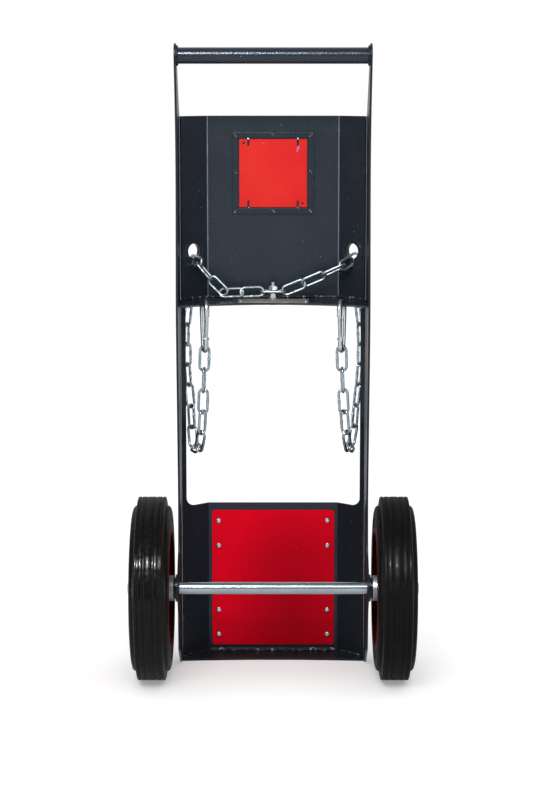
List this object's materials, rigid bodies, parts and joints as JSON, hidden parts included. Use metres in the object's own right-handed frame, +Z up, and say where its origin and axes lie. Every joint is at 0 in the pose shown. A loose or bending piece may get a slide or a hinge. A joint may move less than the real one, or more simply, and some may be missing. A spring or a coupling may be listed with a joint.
{
  "type": "welding cart",
  "caption": "Two-wheeled upright cart with a bent back sheet, toe plate, push handle, axle with rubber-tyred wheels and a chain that secures the load.",
  "frame": {"origin": "on the ground, in the middle of the cart's length and width", "axes": "+Z up, +Y towards the load on the toe plate, +X to the right seen from behind"},
  "size_m": [0.46, 0.5516, 0.988],
  "materials": {
    "powder_coat": "satin dark blue-grey powder coat",
    "red_paint": "satin red paint",
    "rubber_tread": "smooth black rubber",
    "zinc_plate": "bright zinc plating",
    "black_steel": "satin black",
    "bare_steel": "brushed bare steel"
  },
  "bodies": {
    "frame": {"right_side_plate": "powder_coat", "right_keyhole_ring": "powder_coat", "right_axle_boss": "black_steel", "right_inner_washer_1": "zinc_plate", "right_inner_washer_2": "zinc_plate", "right_outer_washer": "zinc_plate", "right_axle_cap": "bare_steel", "right_keyhole_link": "zinc_plate", "right_chain_upper_links": "zinc_plate", "left_side_plate": "powder_coat", "left_keyhole_ring": "powder_coat", "left_axle_boss": "black_steel", "left_inner_washer_1": "zinc_plate", "left_inner_washer_2": "zinc_plate", "left_outer_washer": "zinc_plate", "left_axle_cap": "bare_steel", "left_keyhole_link": "zinc_plate", "left_chain_upper_links": "zinc_plate", "handle_tube": "powder_coat", "back_panel": "powder_coat", "toe_plate": "powder_coat", "shelf": "powder_coat", "upper_plate_frame": "powder_coat", "lower_red_plate": "red_paint", "upper_red_plate": "red_paint", "shelf_blank_plate": "bare_steel", "axle": "zinc_plate", "centre_chain_link": "zinc_plate", "chain_bolt": "zinc_plate", "bolt_washer": "zinc_plate", "bolt_lower_nut": "zinc_plate", "bolt_lock_nut": "zinc_plate", "lower_plate_screw_1": "zinc_plate", "lower_plate_screw_2": "zinc_plate", "lower_plate_screw_3": "zinc_plate", "lower_plate_screw_4": "zinc_plate", "lower_plate_screw_5": "zinc_plate", "lower_plate_screw_6": "zinc_plate", "lower_plate_screw_7": "zinc_plate", "lower_plate_screw_8": "zinc_plate"},
    "right_wheel": {"right_tyre": "rubber_tread", "right_rim_outer_half": "red_paint", "right_rim_inner_half": "red_paint", "right_hub": "zinc_plate", "right_roller_bearing": "black_steel"},
    "left_wheel": {"left_tyre": "rubber_tread", "left_rim_outer_half": "red_paint", "left_rim_inner_half": "red_paint", "left_hub": "zinc_plate", "left_roller_bearing": "black_steel"},
    "right_chain": {"right_chain_loop": "zinc_plate", "right_carabiner_body": "zinc_plate", "right_carabiner_pin": "zinc_plate"},
    "left_chain": {"left_chain_loop": "zinc_plate", "left_carabiner_body": "zinc_plate", "left_carabiner_pin": "zinc_plate"},
    "right_gate": {"right_carabiner_gate": "zinc_plate"},
    "left_gate": {"left_carabiner_gate": "zinc_plate"},
    "right_swag": {"right_swag_chain": "zinc_plate"},
    "left_swag": {"left_swag_chain": "zinc_plate"}
  },
  "joints": [
    {"name": "right_wheel_spin", "type": "hinge", "parent": "frame", "child": "right_wheel", "pos_m": [0.19, -0.13175, 0.144], "axis": [1, 0, 0], "continuous": true},
    {"name": "left_wheel_spin", "type": "hinge", "parent": "frame", "child": "left_wheel", "pos_m": [-0.19, -0.13175, 0.144], "axis": [1, 0, 0], "continuous": true},
    {"name": "right_chain_swing", "type": "hinge", "parent": "frame", "child": "right_chain", "pos_m": [0.107, -0.09596, 0.589], "axis": [0.2773, 0.9543, -0.1111], "range_deg": [0, 20]},
    {"name": "left_chain_swing", "type": "hinge", "parent": "frame", "child": "left_chain", "pos_m": [-0.107, -0.09596, 0.589], "axis": [0.2773, -0.9543, 0.1111], "range_deg": [0, 20]},
    {"name": "right_gate_open", "type": "hinge", "parent": "right_chain", "child": "right_gate", "pos_m": [0.10475, -0.105, 0.5417], "axis": [-0.9703, 0.2419, 0], "range_deg": [0, 20], "stiffness_Nm_per_rad": 0.2},
    {"name": "left_gate_open", "type": "hinge", "parent": "left_chain", "child": "left_gate", "pos_m": [-0.10475, -0.105, 0.5417], "axis": [-0.9703, -0.2419, 0], "range_deg": [0, 20], "stiffness_Nm_per_rad": 0.2},
    {"name": "right_swag_sway", "type": "hinge", "parent": "frame", "child": "right_swag", "pos_m": [0.016, -0.01975, 0.6016], "axis": [0.9025, 0.0141, 0.4305], "range_deg": [-5, 15]},
    {"name": "left_swag_sway", "type": "hinge", "parent": "frame", "child": "left_swag", "pos_m": [-0.016, -0.01975, 0.6016], "axis": [0.9025, -0.0141, -0.4305], "range_deg": [-5, 6]}
  ]
}
